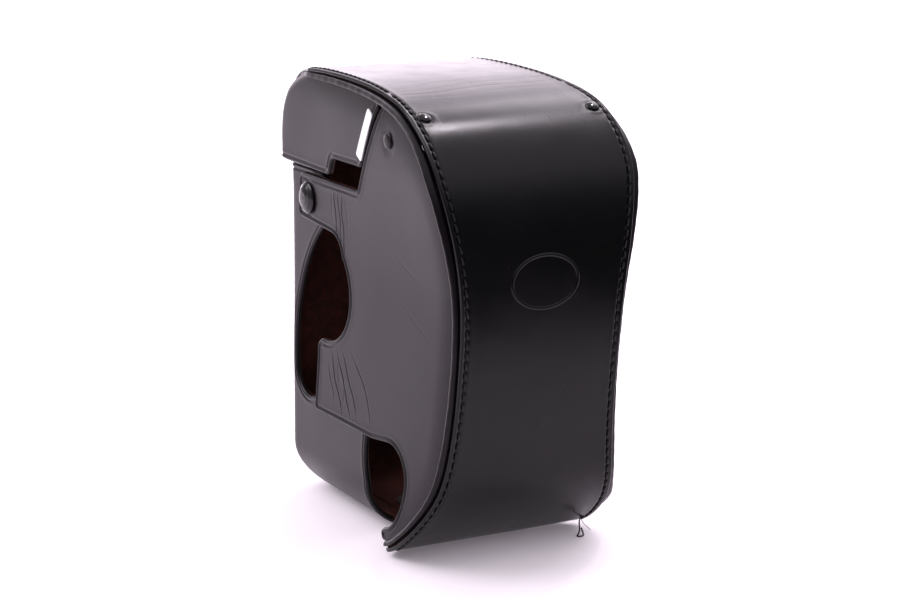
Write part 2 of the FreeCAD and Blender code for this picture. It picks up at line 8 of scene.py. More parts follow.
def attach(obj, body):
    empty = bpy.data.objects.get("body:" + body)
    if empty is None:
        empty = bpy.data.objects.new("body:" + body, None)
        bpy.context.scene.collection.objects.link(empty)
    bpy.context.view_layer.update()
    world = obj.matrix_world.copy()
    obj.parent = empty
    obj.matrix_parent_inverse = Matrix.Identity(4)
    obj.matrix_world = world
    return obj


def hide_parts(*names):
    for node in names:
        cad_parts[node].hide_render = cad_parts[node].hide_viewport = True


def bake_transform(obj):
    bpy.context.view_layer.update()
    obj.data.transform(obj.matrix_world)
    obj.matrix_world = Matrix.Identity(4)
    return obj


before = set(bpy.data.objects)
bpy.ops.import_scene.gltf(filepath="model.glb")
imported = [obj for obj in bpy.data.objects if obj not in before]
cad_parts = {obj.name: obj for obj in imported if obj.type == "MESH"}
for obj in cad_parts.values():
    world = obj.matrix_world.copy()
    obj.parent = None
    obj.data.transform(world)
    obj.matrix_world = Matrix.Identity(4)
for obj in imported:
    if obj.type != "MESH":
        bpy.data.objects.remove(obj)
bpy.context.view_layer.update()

MM = 0.001
CENTRE_Y = 2.65         # the part's origin lies at this y of the outlines below, in millimetres

# Side view of the strip's outer surface (y, z) and half the distance between its seams (z, x).
COVER_PROFILE = [(-25, 1.0), (-35, 2.6), (-46, 8.5), (-62, 22.5), (-71, 36), (-76, 54), (-81.5, 90),
                 (-85.2, 125), (-85.5, 142), (-83.5, 159), (-78.5, 175), (-65, 191.3),
                 (-51.5, 199.6), (-27, 206.0)]
LID_PROFILE = [(-27, 206.0), (14, 209.4), (44, 209.6), (66, 207), (80.8, 199), (88.6, 186), (90.1, 163)]
SEAM_WIDTH = [(-6, 47.5), (7, 47.5), (22, 45), (36, 41.3), (52, 38.6), (90, 36.7), (125, 37.8),
              (142, 39.9), (159, 42.6), (175, 45), (192, 45.6), (201, 45), (209, 42.6), (216, 42)]
PANEL_OFFSET = [4.5, 4.5, 4.5, 4.3, 4.1, 4.0, 4.1, 4.6, 5.2, 5.5, 5.4, 5.2, 4.8, 4.6]
LID_INSETS = [4.4, 4.4, 4.2, 2.8, 1.1, 0.45, 0.4]
BACK_TAPER = [(40, 50), (53, 46), (61, 43.6), (72, 42.4), (82, 41), (97, 40.4)]
PANEL_INSET = 4.4       # side panels begin this far under the strip's surface
LEATHER = 1.8
LINING = 0.6
PASTE = 0.02            # gap between leather and lining, which keeps their faces apart
EDGE = 2.8              # strip leather outside its seam
BACK_HALF = 45.0
REAR_HALF = 41.0
REAR_BACK = 90.4
REAR_LEAN = 0.023
REAR_ROUND = 6.0        # upright corners of the rear half
REAR_BEND = 22.0        # its lower edges
REAR_FRONT = -24.8
FOOT_RISE = 2.4         # height of the rear half's front corners
LINING_TRIM = 1.2       # how much smaller the rear half's lining is cut
PITCH = 4.6             # stitch length
SCREW = (0.0, 25.0)
STRIP_RIVET = (41.4, -54.0, 198.3)
SIDE_RIVET = (-36.0, 187.0)
SNAP_CAP = (57.0, 148.0)
EMBLEM_HEIGHT = 130
EMBLEM_WIDE = 16.1
EMBLEM_HIGH = 11.6
CUP_BORE = 11.05        # radius of the hole for the screw cup
KEEPER_HEIGHT = 145
KEEPER_HALF = 6
FLAP_HALF = 18.8
STRAP_HALF = 27.0
CAMERA_AT = (-0.46677, -0.87638, 0.32406)   # metres
CAMERA_TURN = 28.1      # degrees to the left of the front
CAMERA_DOWN = 12.45     # degrees downwards


# ---- curves and surfaces
def run_lengths(points):
    """Length of a run of points up to each of them."""
    steps = np.diff(np.array(points, float), axis=0)
    return np.r_[0.0, np.cumsum(np.linalg.norm(steps, axis=1))]


def spline(points):
    """Smooth curve through points; returns a function of run length and the whole length."""
    knots = np.array(points, float)
    places = run_lengths(points)
    gap = np.diff(places)
    last = len(places) - 1
    left = np.eye(last + 1)
    right = np.zeros_like(knots)
    for i in range(1, last):
        left[i, i - 1:i + 2] = gap[i - 1], 2 * (gap[i - 1] + gap[i]), gap[i]
        right[i] = 6 * ((knots[i + 1] - knots[i]) / gap[i] - (knots[i] - knots[i - 1]) / gap[i - 1])
    bend = np.linalg.solve(left, right)

    def at(run):
        run = np.clip(np.asarray(run, float), 0, places[-1])
        i = np.clip(np.searchsorted(places, run) - 1, 0, last - 1)
        span = gap[i][..., None]
        before = ((places[i + 1] - run) / gap[i])[..., None]
        after = 1 - before
        curve = (before ** 3 - before) * bend[i] + (after ** 3 - after) * bend[i + 1]
        return before * knots[i] + after * knots[i + 1] + curve * span * span / 6

    return at, places[-1]


STRIP_AT, STRIP_LENGTH = spline(COVER_PROFILE + LID_PROFILE[1:])
COVER_LENGTH = spline(COVER_PROFILE)[1]
_seam_at, _seam_length = spline(SEAM_WIDTH)
_seam_table = _seam_at(np.linspace(0, _seam_length, 400))


def seam_half(z):
    """Half the distance between the seams at height z."""
    return np.interp(z, _seam_table[:, 0], _seam_table[:, 1])


_taper_at, _taper_length = spline(BACK_TAPER)
_taper_table = _taper_at(np.linspace(0, _taper_length, 200))


def strip_half(y, z):
    """Half width of the strip: waisted, narrower at the back, its foot's corners cut at a slant."""
    y = np.asarray(y, float)
    half = seam_half(z) + EDGE
    half = np.where(y > 40, np.minimum(half, np.interp(y, _taper_table[:, 0], _taper_table[:, 1])), half)
    foot = 39.6 + 1.14 * np.maximum(-24.2 - y, 0)
    return np.where((np.asarray(z) < 20) & (y > -34), np.minimum(half, foot), half)


def side_half(y, z):
    """Outer half width of the side panels."""
    share = np.clip((np.asarray(y, float) + 83.0) / 170.0, -0.05, 1.05)
    return (seam_half(z) + panel_offset(z)) * (1 - share) + BACK_HALF * share


def panel_offset(z):
    """Distance of the side panels outside the seam."""
    return np.interp(z, [height for height, _ in SEAM_WIDTH], PANEL_OFFSET)


def lid_inset(run):
    """Depth of the lid's side panels under the strip's surface."""
    return np.interp(run - COVER_LENGTH, run_lengths(LID_PROFILE), LID_INSETS)


def profile(run, inset=0.0):
    """Points of the strip's side view, moved inwards by inset, with the outward normals."""
    run = np.asarray(run, float)
    point = STRIP_AT(run)
    ahead = STRIP_AT(np.minimum(run + 0.2, STRIP_LENGTH))
    behind = STRIP_AT(np.maximum(run - 0.2, 0))
    along = ahead - behind
    along /= np.linalg.norm(along, axis=-1, keepdims=True)
    out = np.stack([-along[..., 1], along[..., 0]], -1)
    return point - out * np.asarray(inset, float)[..., None], out


def wave(a, b, seed, scale):
    """Slow unevenness of hand-shaped leather, from -1 to 1."""
    return np.array([noise.noise(Vector((float(x) * scale, float(y) * scale, seed)))
                     for x, y in zip(np.ravel(a), np.ravel(b))]).reshape(np.shape(a))


def ridge(at, place, wide):
    """Smooth ridge of height 1 at a place."""
    return np.exp(-((at - place) / wide) ** 2)


def cut_edge(gap, reach):
    """Rounding of a cut edge: 1 at the edge, 0 from a reach inwards."""
    return np.clip(1 - gap / reach, 0, 1) ** 2


def directions(points):
    """Unit direction along a run of points, at each of them."""
    along = np.gradient(points, axis=0)
    return along / np.linalg.norm(along, axis=1, keepdims=True)


def left_of(points):
    """Unit direction to the left of a flat run of points, at each of them."""
    along = directions(points)
    return np.stack([-along[:, 1], along[:, 0]], 1)


def off_line(points, out, rise):
    """Both coordinates of a grid of points at some height over a flat run of points."""
    return [points[:, None, k] + out[:, None, k] * rise for k in (0, 1)]


def outline(parts, step=0.6):
    """Dense points along a side-view outline; four numbers are an arc's middle and its end."""
    points = [np.array(parts[0], float)]
    for entry in parts[1:]:
        start = points[-1]
        end = np.array(entry[-2:], float)
        if len(entry) == 4:
            points += arc(start, np.array(entry[:2], float), end, step)
        else:
            count = max(1, int(np.linalg.norm(end - start) / step))
            points += [start + (end - start) * k / count for k in range(1, count + 1)]
    return np.array(points)


def arc(a, b, c, step):
    """Points after a on the circle through a, b and c, up to c."""
    d = 2 * (a[0] * (b[1] - c[1]) + b[0] * (c[1] - a[1]) + c[0] * (a[1] - b[1]))
    sq = [float(p @ p) for p in (a, b, c)]
    centre = np.array([
        (sq[0] * (b[1] - c[1]) + sq[1] * (c[1] - a[1]) + sq[2] * (a[1] - b[1])) / d,
        (sq[0] * (c[0] - b[0]) + sq[1] * (a[0] - c[0]) + sq[2] * (b[0] - a[0])) / d])
    angles = [math.atan2(*(p - centre)[::-1]) for p in (a, b, c)]
    turn = (angles[2] - angles[0]) % (2 * math.pi)
    if (angles[1] - angles[0]) % (2 * math.pi) > turn:
        turn -= 2 * math.pi
    radius = np.linalg.norm(a - centre)
    count = max(2, int(abs(turn) * radius / step))
    return [centre + radius * np.array([math.cos(angles[0] + turn * k / count),
                                        math.sin(angles[0] + turn * k / count)])
            for k in range(1, count + 1)]


def soften(points, reach):
    """Rounds the corners of an open run of points, keeping its ends."""
    result = points.copy()
    for _ in range(reach):
        result[1:-1] = 0.5 * result[1:-1] + 0.25 * (result[:-2] + result[2:])
    return result


def distance(points, line):
    """Shortest distance of each point to a run of line pieces."""
    a = line[:-1]
    b = line[1:]
    ab = b - a
    length = np.maximum((ab ** 2).sum(1), 1e-12)
    best = np.full(len(points), 1e9)
    for k in range(0, len(points), 2000):
        block = points[k:k + 2000, None, :]
        share = np.clip(((block - a) * ab).sum(2) / length, 0, 1)
        gap = np.linalg.norm(block - (a + share[..., None] * ab), axis=2)
        best[k:k + 2000] = gap.min(1)
    return best


def inside(points, loop):
    """True for the points inside a closed loop."""
    x, y = points[:, 0], points[:, 1]
    result = np.zeros(len(points), bool)
    for a, b in zip(loop, np.roll(loop, -1, 0)):
        if a[1] == b[1]:
            continue
        crosses = (a[1] > y) != (b[1] > y)
        result ^= crosses & (x < (b[0] - a[0]) * (y - a[1]) / (b[1] - a[1]) + a[0])
    return result


# ---- mesh helpers
def add_object(name, data):
    """New object in the scene."""
    obj = bpy.data.objects.new(name, data)
    bpy.context.scene.collection.objects.link(obj)
    return obj


def add_mesh(name, points, faces):
    """New smooth mesh object from points in metres."""
    data = bpy.data.meshes.new(name)
    data.from_pydata(points, [], faces)
    data.validate()
    data.update()
    data.polygons.foreach_set("use_smooth", [True] * len(data.polygons))
    return add_object(name, data)


def mesh_object(name, points, faces, body=None):
    """New object from points in outline millimetres."""
    at = (np.array(points, float) - (0, CENTRE_Y, 0)) * MM
    obj = add_mesh(name, at.tolist(), [list(map(int, f)) for f in faces])
    if body:
        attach(obj, body)
    return obj


def finish_piece(obj, material, slot, *nodes):
    """Material and the CAD nodes that a piece stands for, which are hidden; the slot is not used."""
    obj.data.materials.append(material)
    if nodes:
        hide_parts(*nodes)
    return obj


def grid_faces(rows, columns, wrap=False):
    """Quads of a grid of points; wrap closes the columns."""
    faces = []
    last = columns if wrap else columns - 1
    for low in range(0, (rows - 1) * columns, columns):
        high = low + columns
        for column in range(last):
            beside = (column + 1) % columns
            faces.append((low + column, low + beside, high + beside, high + column))
    return faces


def tube_faces(rings, sides):
    """Quads along a run of rings, and both ends."""
    faces = grid_faces(rings, sides, True)
    faces.append(tuple(range(sides))[::-1])
    faces.append(tuple(range((rings - 1) * sides, rings * sides)))
    return faces


def tube(name, path, radius, sides=8):
    """Closed round cord along a path of points."""
    path = np.array(path, float)
    along = directions(path)
    first = np.cross(along, (1.0, 0, 0))
    bad = np.linalg.norm(first, axis=1) < 0.2
    first[bad] = np.cross(along[bad], (0, 1.0, 0))
    first /= np.linalg.norm(first, axis=1, keepdims=True)
    second = np.cross(along, first)
    rings = []
    for k in range(sides):
        turn = 2 * math.pi * k / sides
        rings.append(path + (first * math.cos(turn) + second * math.sin(turn)) * radius)
    points = np.stack(rings, 1).reshape(-1, 3)
    return mesh_object(name, points, tube_faces(len(path), sides))


def cut_faces(points, border):
    """Triangles between flat points inside the border, which is the first of them."""
    result = geometry.delaunay_2d_cdt(
        [Vector(p) for p in points], [], [list(range(border))], 1, 1e-5)
    return np.array([tuple(v) for v in result[0]]), [tuple(f) for f in result[2]]


def sheet_loop(loop, insets, spacing, extra=None):
    """Triangles of a flat leather cut: rows of points along its edge, then an even field."""
    field = [loop]
    nearest = np.r_[loop, loop[:1]]
    towards = np.roll(loop, -1, 0) - np.roll(loop, 1, 0)
    towards /= np.maximum(np.linalg.norm(towards, axis=1, keepdims=True), 1e-9)
    inward = np.stack([-towards[:, 1], towards[:, 0]], 1)
    area = 0.5 * np.sum(loop[:, 0] * np.roll(loop[:, 1], -1) - np.roll(loop[:, 0], -1) * loop[:, 1])
    if area < 0:
        inward = -inward
    for inset in insets:
        row = loop + inward * inset
        row = row[inside(row, loop)]
        field.append(row[distance(row, nearest) > inset - 0.03])
    low, high = loop.min(0), loop.max(0)
    across = np.arange(low[0], high[0], spacing)
    up = np.arange(low[1], high[1], spacing * 0.866)
    gx, gy = np.meshgrid(across, up)
    gx = gx + (np.arange(len(up)) % 2)[:, None] * spacing * 0.5
    even = np.stack([gx.ravel(), gy.ravel()], 1)
    even = even[inside(even, loop)]
    even = even[distance(even, nearest) > insets[-1] + spacing * 0.45]
    if extra is not None and len(extra):
        more = extra[inside(extra, loop)]
        more = more[distance(more, nearest) > 0.4]
        gap = np.array([np.min(np.linalg.norm(more - e, axis=1)) for e in even])
        even = even[gap > spacing * 0.4]
        field.append(more)
    field.append(even)
    return cut_faces(np.concatenate(field), len(loop))


def two_sided(name, outer, inner, faces, flip):
    """Closed leather piece from its outer and inner points, which share their faces."""
    outer = outer.reshape(-1, 3)
    inner = inner.reshape(-1, 3)
    count = len(outer)
    edges = dict.fromkeys((a, b) for f in faces for a, b in zip(f, f[1:] + f[:1]))
    wall = [(b, a, a + count, b + count) for a, b in edges if (b, a) not in edges]
    back = [tuple(i + count for i in f[::-1]) for f in faces]
    whole = faces + back + wall
    if flip:
        whole = [f[::-1] for f in whole]
    return mesh_object(name, np.concatenate([outer, inner]), whole)


# ---- materials
def node(tree, kind, **values):
    """New shader node with its inputs or settings."""
    made = tree.nodes.new(kind)
    for key, value in values.items():
        if key in made.inputs:
            made.inputs[key].default_value = value
        else:
            setattr(made, key, value)
    return made


def texture(tree, kind, **values):
    """New texture node over the object's own coordinates."""
    made = node(tree, kind, **values)
    where = node(tree, "ShaderNodeTexCoord")
    tree.links.new(where.outputs["Object"], made.inputs["Vector"])
    return made


def ramp(tree, value, start, end, low=0.0, high=1.0, kind="LINEAR"):
    """Output that goes from low to high while a value goes from start to end."""
    made = node(tree, "ShaderNodeMapRange", interpolation_type=kind,
                **{"From Min": start, "From Max": end, "To Min": low, "To Max": high})
    tree.links.new(value, made.inputs["Value"])
    return made.outputs["Result"]


def blend_colours(tree, share, first, second):
    """Output colour between two colours."""
    made = node(tree, "ShaderNodeMix", data_type="RGBA")
    made.inputs[6].default_value = (*first, 1)
    made.inputs[7].default_value = (*second, 1)
    tree.links.new(share, made.inputs[0])
    return made.outputs[2]


def colour_ramp(tree, value, low, first, high, second):
    """Output colour that goes from one colour at low to another at high."""
    made = node(tree, "ShaderNodeValToRGB")
    for element, place, colour in zip(made.color_ramp.elements, (low, high), (first, second)):
        element.position = place
        element.color = (*colour, 1)
    tree.links.new(value, made.inputs["Fac"])
    return made.outputs["Color"]


def bump(tree, height, strength, reach):
    """Bump node over a height."""
    made = node(tree, "ShaderNodeBump", Strength=strength, Distance=reach)
    tree.links.new(height, made.inputs["Height"])
    return made


def base_material(name):
    """New material with its tree and main shader."""
    material = bpy.data.materials.new(name)
    material.use_nodes = True
    tree = material.node_tree
    return material, tree, tree.nodes["Principled BSDF"]


def leather_material(name, colour, worn, rough, grain, ior=1.45, sheen=0.0):
    """Smooth dyed leather: faint pores, slow shade changes, uneven polish and hairline scuffs."""
    material, tree, shader = base_material(name)
    link = tree.links.new
    slow = texture(tree, "ShaderNodeTexNoise", Scale=26.0, Detail=3.0, Roughness=0.6)
    fine = texture(tree, "ShaderNodeTexNoise", Scale=1500.0, Detail=3.0, Roughness=0.65)
    pores = texture(tree, "ShaderNodeTexVoronoi", Scale=1900.0)
    stretch = texture(tree, "ShaderNodeMapping", Scale=(900.0, 60.0, 160.0), Rotation=(0.5, 0.2, 0.3))
    scuff = node(tree, "ShaderNodeTexNoise", Scale=1.0, Detail=2.0)
    link(stretch.outputs["Vector"], scuff.inputs["Vector"])
    cloud = ramp(tree, slow.outputs["Fac"], 0.42, 0.75)
    polish = ramp(tree, slow.outputs["Fac"], 0.3, 0.7, rough - 0.035, rough + 0.05)
    marks = ramp(tree, scuff.outputs["Fac"], 0.68, 0.85, 0.0, 0.03)
    total = node(tree, "ShaderNodeMath", operation="ADD")
    link(polish, total.inputs[0])
    link(marks, total.inputs[1])
    pits = bump(tree, pores.outputs["Distance"], grain, 0.00012)
    skin = bump(tree, fine.outputs["Fac"], grain * 0.8, 0.0002)
    link(pits.outputs["Normal"], skin.inputs["Normal"])
    link(blend_colours(tree, cloud, colour, worn), shader.inputs["Base Color"])
    link(total.outputs["Value"], shader.inputs["Roughness"])
    link(skin.outputs["Normal"], shader.inputs["Normal"])
    shader.inputs["IOR"].default_value = ior
    shader.inputs["Sheen Weight"].default_value = sheen
    shader.inputs["Sheen Roughness"].default_value = 0.4
    return material


def suede_material():
    """Reddish brown napped lining."""
    material, tree, shader = base_material("suede_brown")
    link = tree.links.new
    nap = texture(tree, "ShaderNodeTexNoise", Scale=220.0, Detail=6.0, Roughness=0.7)
    fuzz = texture(tree, "ShaderNodeTexNoise", Scale=2600.0, Detail=2.0)
    brown = colour_ramp(tree, nap.outputs["Fac"], 0.3, (0.022, 0.0055, 0.004), 0.75, (0.085, 0.019, 0.011))
    link(brown, shader.inputs["Base Color"])
    link(bump(tree, fuzz.outputs["Fac"], 0.5, 0.0004).outputs["Normal"], shader.inputs["Normal"])
    shader.inputs["Roughness"].default_value = 0.95
    shader.inputs["Sheen Weight"].default_value = 0.35
    shader.inputs["Sheen Tint"].default_value = (0.6, 0.25, 0.18, 1)
    return material


def thread_material():
    """Waxed twisted thread."""
    material, tree, shader = base_material("thread_black")
    link = tree.links.new
    twist = texture(tree, "ShaderNodeTexWave", Scale=900.0, Distortion=1.5).outputs["Fac"]
    black = colour_ramp(tree, twist, 0.0, (0.004, 0.004, 0.005), 1.0, (0.022, 0.021, 0.023))
    link(black, shader.inputs["Base Color"])
    link(bump(tree, twist, 0.5, 0.0002).outputs["Normal"], shader.inputs["Normal"])
    shader.inputs["Roughness"].default_value = 0.55
    return material


def metal_material(name, colour, rough, metallic, brushed):
    """Plated or enamelled metal with faint wear."""
    material, tree, shader = base_material(name)
    link = tree.links.new
    cloud = texture(tree, "ShaderNodeTexNoise", Scale=brushed, Detail=5.0).outputs["Fac"]
    dark = tuple(0.8 * c for c in colour)
    link(blend_colours(tree, cloud, dark, colour), shader.inputs["Base Color"])
    link(ramp(tree, cloud, 0.0, 1.0, rough - 0.06, rough + 0.08), shader.inputs["Roughness"])
    link(bump(tree, cloud, 0.06, 0.0001).outputs["Normal"], shader.inputs["Normal"])
    shader.inputs["Metallic"].default_value = metallic
    return material


STRIP_LEATHER = leather_material("strip_leather", (0.003, 0.003, 0.0035), (0.006, 0.0055, 0.0065),
                                 rough=0.235, grain=0.12, ior=1.42)
SIDE_LEATHER = leather_material("side_leather", (0.006, 0.0045, 0.006), (0.014, 0.0095, 0.013),
                                rough=0.33, grain=0.16, ior=1.38, sheen=0.02)
EDGE_LEATHER = leather_material("edge_leather", (0.006, 0.005, 0.006), (0.02, 0.014, 0.014),
                                rough=0.3, grain=0.2)
SUEDE = suede_material()
THREAD = thread_material()
ENAMEL = metal_material("black_enamel", (0.005, 0.005, 0.006), rough=0.16, metallic=0.0, brushed=60.0)
NICKEL = metal_material("nickel", (0.62, 0.61, 0.58), rough=0.28, metallic=1.0, brushed=90.0)
PLATE = metal_material("bright_plate", (0.92, 0.92, 0.93), rough=0.3, metallic=0.15, brushed=40.0)


def layer(lining):
    """Depth, thickness, material and slot of the leather, or of the suede under it."""
    if lining:
        return LEATHER + PASTE, LINING - PASTE, SUEDE, "suede_brown"
    return 0.0, LEATHER, SIDE_LEATHER, "black_leather"


# ---- the long strip
_rows = np.linspace(0, COVER_LENGTH, 2000)
RIVET_RUN = float(_rows[np.argmin(np.linalg.norm(STRIP_AT(_rows) - STRIP_RIVET[1:], axis=1))])
# Creases over the lid's fold: place behind the fold, slant and depth.
TOP_CREASES = [(-6.0, 0.10, 0.05), (1.0, 0.12, 0.10), (7.5, 0.16, 0.06), (15.0, 0.22, 0.05),
               (24.0, 0.3, 0.05)]


def strip_offset(x, run, half):
    """Height of the strip's skin over its plain surface."""
    edge = half - np.abs(x)
    height = -0.7 * cut_edge(edge, 0.7)
    height += 0.16 * ridge(edge, 0.8, 0.35)
    height -= 0.28 * ridge(edge, EDGE, 0.75)
    height += 0.12 * ridge(edge, 4.4, 0.8)
    hole = np.abs((run / PITCH + 0.5) % 1.0 - 0.5) * PITCH
    height -= 0.55 * ridge(hole, 0.0, 0.75) * ridge(edge, EDGE, 0.6)
    height += 0.30 * wave(x, run, 3.1, 0.018) + 0.05 * wave(x, run, 7.7, 0.09)
    reach = np.hypot(np.abs(x) - STRIP_RIVET[0], run - RIVET_RUN)
    height += 0.22 * ridge(reach, 4.6, 0.9) - 0.30 * np.exp(-(reach / 3.4) ** 4)
    for place, slant, depth in TOP_CREASES:
        line = run - COVER_LENGTH - place - slant * x - 1.2 * np.sin(x * 0.11 + place)
        height -= depth * ridge(line, 0.0, 0.45) * np.clip(edge / 6 - 0.6, 0, 1)
    return height


def strip_columns(half):
    """Positions across the strip: close rows by its edges, wide ones in the middle."""
    near = np.array([0, 0.25, 0.5, 0.8, 1.1, 1.5, 1.9, 2.3, 2.6, 2.9, 3.3, 3.8, 4.4, 5.2, 6.4, 8.0])
    middle = np.linspace(-1, 1, 53)[1:-1]
    left = -half + near
    right = half - near[::-1]
    return np.concatenate([left, middle * (half - near[-1]), right])


def strip_piece(name, start, end, overhang, top, thick, textured):
    """Closed band that follows the strip's side view, at a depth under its surface."""
    step = PITCH / 6    # so that rows of points meet every stitch hole
    runs = np.arange(math.ceil(start / step + 0.1), end / step - 0.1) * step
    runs = np.concatenate([[start], runs, [end]])
    centre, out = profile(runs)
    half = strip_half(centre[:, 0], centre[:, 1]) - EDGE + overhang
    across = np.stack([strip_columns(h) for h in half])
    columns = across.shape[1]
    along = np.repeat(runs[:, None], columns, 1)
    lift = np.full(across.shape, -top)
    if textured:
        lift = lift + strip_offset(across, along, half[:, None])
        ends = np.minimum(runs - start, end - runs)[:, None]
        lift -= 0.6 * cut_edge(ends, 1.2)
    outer = np.stack([across, *off_line(centre, out, lift)], -1)
    inner = np.stack([across, *off_line(centre, out, 0 * lift - (top + thick))], -1)
    return two_sided(name, outer, inner, grid_faces(len(runs), columns), True)


def fold_blend(obj):
    """Bakes into its points the placement of a piece that lies over the fold between the cover and the
    lid."""
    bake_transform(obj)
    return obj


def build_strip():
    """The strip and its lining, each in one length over the fold."""
    skin = strip_piece("strip_leather_band", 0.2, STRIP_LENGTH, EDGE, 0.0, LEATHER, True)
    fold_blend(finish_piece(skin, STRIP_LEATHER, "black_leather", "front_strip", "lid_strip"))
    suede = strip_piece("strip_suede_band", 1.5, STRIP_LENGTH - 0.8, EDGE - 0.9,
                        LEATHER + PASTE, LINING - PASTE, False)
    fold_blend(finish_piece(suede, SUEDE, "suede_brown", "front_strip_lining", "lid_strip_lining"))


def seam_points(runs, side):
    """Points along a seam at the strip's surface, with the outward normals."""
    centre, out = profile(runs)
    x = side * (strip_half(centre[:, 0], centre[:, 1]) - EDGE)
    return np.column_stack([x, centre]), np.column_stack([0 * x, out])


def build_stitches():
    """One thread per stitch, with its two ends in the leather's holes."""
    ring, length = 8, 9
    share = np.linspace(-1, 1, length)
    width = 0.46 * np.sqrt(np.clip(1 - np.abs(share) ** 3, 0, 1)) * (1 - 0.12 * share) + 0.05
    for side, word in ((-1, "left"), (1, "right")):
        for body, low, high, node_name in (
                ("front_cover", 9.5, COVER_LENGTH - 0.4, "front_seam_" + word),
                ("lid", COVER_LENGTH + 0.4, STRIP_LENGTH - 2.0, "lid_seam_" + word)):
            points, faces = [], []
            for index in range(math.ceil(low / PITCH), int(high / PITCH)):
                run = (index + 0.5) * PITCH
                spots, out = seam_points(run + share * 0.41 * PITCH, side)
                sway = 0.14 * noise.noise(Vector((run * 0.9, side * 3.0, 0.5)))
                arch = 0.42 * np.sqrt(np.maximum(0, 1 - share ** 2)) - 0.34
                spots[:, 0] += 0.22 * share * side + sway
                spots += out * (arch[:, None] - 0.05)
                ahead = spots[-1] - spots[0]
                ahead /= np.linalg.norm(ahead)
                sideways = np.cross(ahead, out[length // 2])
                first = len(points)
                for spot, radius in zip(spots, width):
                    for k in range(ring):
                        turn = 2 * math.pi * k / ring
                        points.append(spot + radius * (math.cos(turn) * sideways
                                                       + math.sin(turn) * out[length // 2]))
                faces += [tuple(first + i for i in f) for f in tube_faces(length, ring)]
            obj = mesh_object("stitches_" + body + "_" + word, points, faces, body)
            finish_piece(obj, THREAD, "thread_black", node_name)


def build_welts():
    """Rolled leather border between the strip's edge and the side panels, in one length over the fold."""
    # Across the border: share of the bead's height outwards, and depth under the strip's surface.
    section = np.array([(-1.5, 5.5), (-0.5, 5.35), (0.25, 5.05), (0.62, 4.7), (0.85, 4.25), (0.97, 3.8),
                        (1.0, 3.4), (0.93, 3.0), (0.62, 2.7), (0.05, 2.5), (-0.8, 2.4), (-1.7, 2.36),
                        (-2.0, 3.2), (-1.9, 4.4)])
    runs = np.arange(9.0, COVER_LENGTH + 100.0, 1.15)
    deep = np.where(runs > COVER_LENGTH, lid_inset(runs), PANEL_INSET) / PANEL_INSET
    for side, word in ((-1, "left"), (1, "right")):
        rows = []
        for share, depth in section:
            centre, _ = profile(runs, depth * deep)
            crest = bead_height(centre[:, 0], centre[:, 1])
            out_by = share * (crest if share > 0 else 1.4)
            wide = side_half(centre[:, 0], centre[:, 1]) + out_by * np.clip(deep, 0.5, 1)
            wide += back_bend(centre[:, 0], 0.0) + foot_flare(side, centre[:, 1], 0.0)
            swell = 0.05 * np.sin(runs * 0.35) + 0.05 * np.sin(runs * 0.83 + 1.0)
            rows.append(np.column_stack([side * (wide + swell), centre]))
        points = np.stack(rows, 1).reshape(-1, 3)
        faces = tube_faces(len(runs), len(section))
        if side > 0:
            faces = [f[::-1] for f in faces]
        obj = mesh_object("welt_" + word, points, faces)
        finish_piece(obj, SIDE_LEATHER, "black_leather", "front_welt_" + word, "lid_welt_" + word)
        fold_blend(obj)


def bead_height(y, z):
    """How far the sewn border stands out: least at the waist and on top, fading over the lid."""
    height = np.interp(z, [0, 40, 90, 120, 150, 180, 197, 206], [1.5, 1.5, 0.8, 1.0, 1.4, 1.5, 0.9, 0.5])
    return height * np.interp(y, [-30, 30, 60], [1.0, 0.35, 0.0])


def build_emblem():
    """Plain pressed oval on the front, with no lettering."""
    turns = np.linspace(0, 2 * math.pi, 145)[:-1]
    runs = np.linspace(0, COVER_LENGTH, 900)
    heights = profile(runs)[0][:, 1]
    ridge_section = ((-1.0, -0.05), (-0.7, 0.22), (-0.3, 0.42), (0.0, 0.46), (0.3, 0.42), (0.7, 0.22),
                     (1.0, -0.05))
    rows = []
    for share, lift in ridge_section:
        x = (EMBLEM_WIDE + 0.9 * share) * np.cos(turns)
        z = EMBLEM_HEIGHT + (EMBLEM_HIGH + 0.9 * share) * np.sin(turns)
        run = np.interp(z, heights[:700], runs[:700])
        centre, out = profile(run)
        half = seam_half(centre[:, 1]) + EDGE
        rise = lift + strip_offset(x, run, half)
        rows.append(np.column_stack([x, centre + out * rise[:, None]]))
    points = np.concatenate(rows)
    faces = [f[::-1] for f in grid_faces(len(rows), len(turns), True)]
    obj = mesh_object("emblem_oval", points, faces, "front_cover")
    finish_piece(obj, STRIP_LEATHER, "black_leather", "front_emblem")


# ---- side panels
# Rows of points inside a cut's edge, and the flat cuts, which both sides share.
RIM_ROWS = (0.18, 0.4, 0.7, 1.0, 1.35, 1.7, 2.1, 2.5, 2.9, 3.4, 4.0, 5.0, 6.4)
FLAT_CUTS = {}


def crease_points(creases):
    """Close rows of points along each crease."""
    rows = []
    for line, _, wide in creases:
        at, total = spline(line)
        spots = at(np.arange(0, total, 0.7))
        across = left_of(spots)
        for share in (-2.2, -1.3, -0.6, 0, 0.6, 1.3, 2.2):
            rows.append(spots + across * share * wide)
    return np.concatenate(rows) if rows else None


def crease_height(points, creases):
    """Height at each point: every crease is a groove between two low ridges, fading at its ends."""
    height = np.zeros(len(points))
    for line, depth, wide in creases:
        at, total = spline(line)
        spots = at(np.arange(0, total, 0.5))
        gap = distance(points, spots)
        to_end = np.minimum(*(np.linalg.norm(points - spots[k], axis=1) for k in (0, -1)))
        fade = np.clip(to_end / (0.25 * total), 0, 1)
        height += fade * depth * (0.45 * ridge(gap, 0.0, 2.2 * wide) - ridge(gap, 0.0, wide))
    return height


